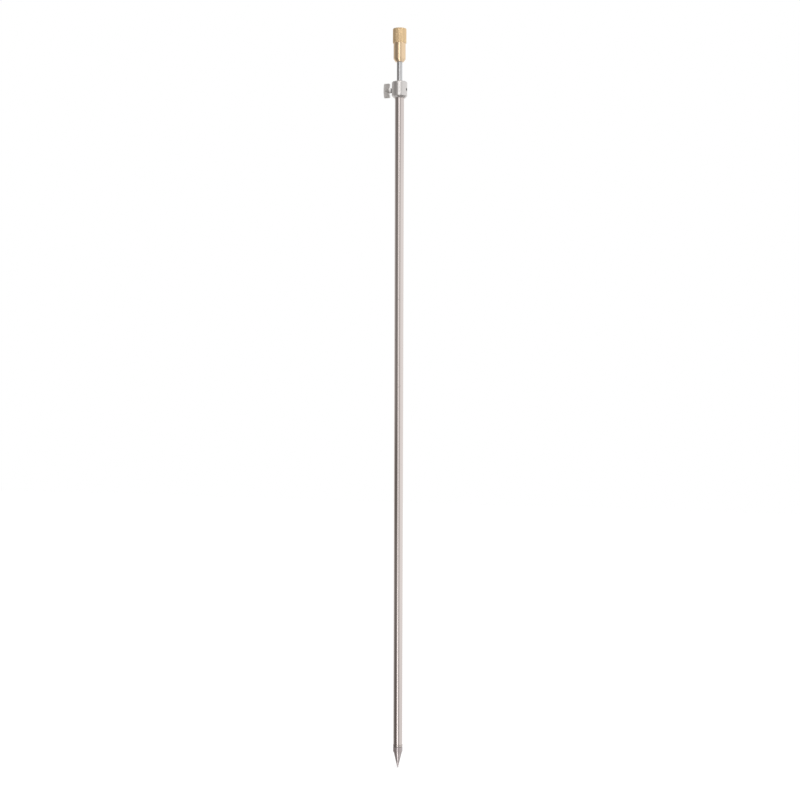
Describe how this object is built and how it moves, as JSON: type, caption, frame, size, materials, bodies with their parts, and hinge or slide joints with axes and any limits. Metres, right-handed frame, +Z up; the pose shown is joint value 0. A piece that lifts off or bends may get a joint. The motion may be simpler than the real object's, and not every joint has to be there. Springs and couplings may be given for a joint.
{
  "type": "bank stick",
  "caption": "Telescopic bank stick: spiked steel tube, locking collar with a thumb screw, sliding inner rod and a knurled brass head with a threaded socket for a rod rest.",
  "frame": {"origin": "tip of the ground spike, on the stick's own axis", "axes": "+Z up along the stick, -X out along the thumb screw, +Y completes the right-handed frame"},
  "size_m": [0.027, 0.017, 0.8127],
  "materials": {
    "turned_steel": "turned, slightly dull",
    "stainless_tube": "polished along its length",
    "plated_steel": "bright plated, turned",
    "plated_casting": "satin plated casting",
    "black_steel": "black oxide",
    "zinc_plated_steel": "zinc plated",
    "brass": "turned, bright",
    "nylon": "plain"
  },
  "bodies": {
    "stick": {"ground_spike": "turned_steel", "outer_tube": "stainless_tube", "top_bush": "nylon", "lock_collar": "plated_steel", "collar_grub_screw": "black_steel"},
    "rod_foot": {"foot_bush": "nylon"},
    "rod": {"foot_screw": "zinc_plated_steel", "inner_rod": "zinc_plated_steel", "screw_head": "brass"},
    "clamp": {"clamp_pad": "brass"},
    "thumb_screw": {"thumb_screw_stud": "zinc_plated_steel", "thumb_screw_wing": "plated_casting"}
  },
  "joints": [
    {"name": "rod_slide", "type": "slide", "parent": "stick", "child": "rod_foot", "axis": [0, 0, 1], "range_m": [-0.0216, 0.6365]},
    {"name": "rod_turn", "type": "hinge", "parent": "rod_foot", "child": "rod", "pos_m": [0, 0, 0.084], "axis": [0, 0, 1], "continuous": true},
    {"name": "clamp_travel", "type": "slide", "parent": "stick", "child": "clamp", "axis": [-1, 0, 0], "range_m": [0, 0.0032]},
    {"name": "thumb_screw_turn", "type": "hinge", "parent": "clamp", "child": "thumb_screw", "pos_m": [-0.0085, 0, 0.7454], "axis": [-1, 0, 0], "range_deg": [0, 1440]}
  ],
  "couplings": [
    {"joint": "thumb_screw_turn", "follows": "clamp_travel", "rad_per_m": 7854}
  ]
}
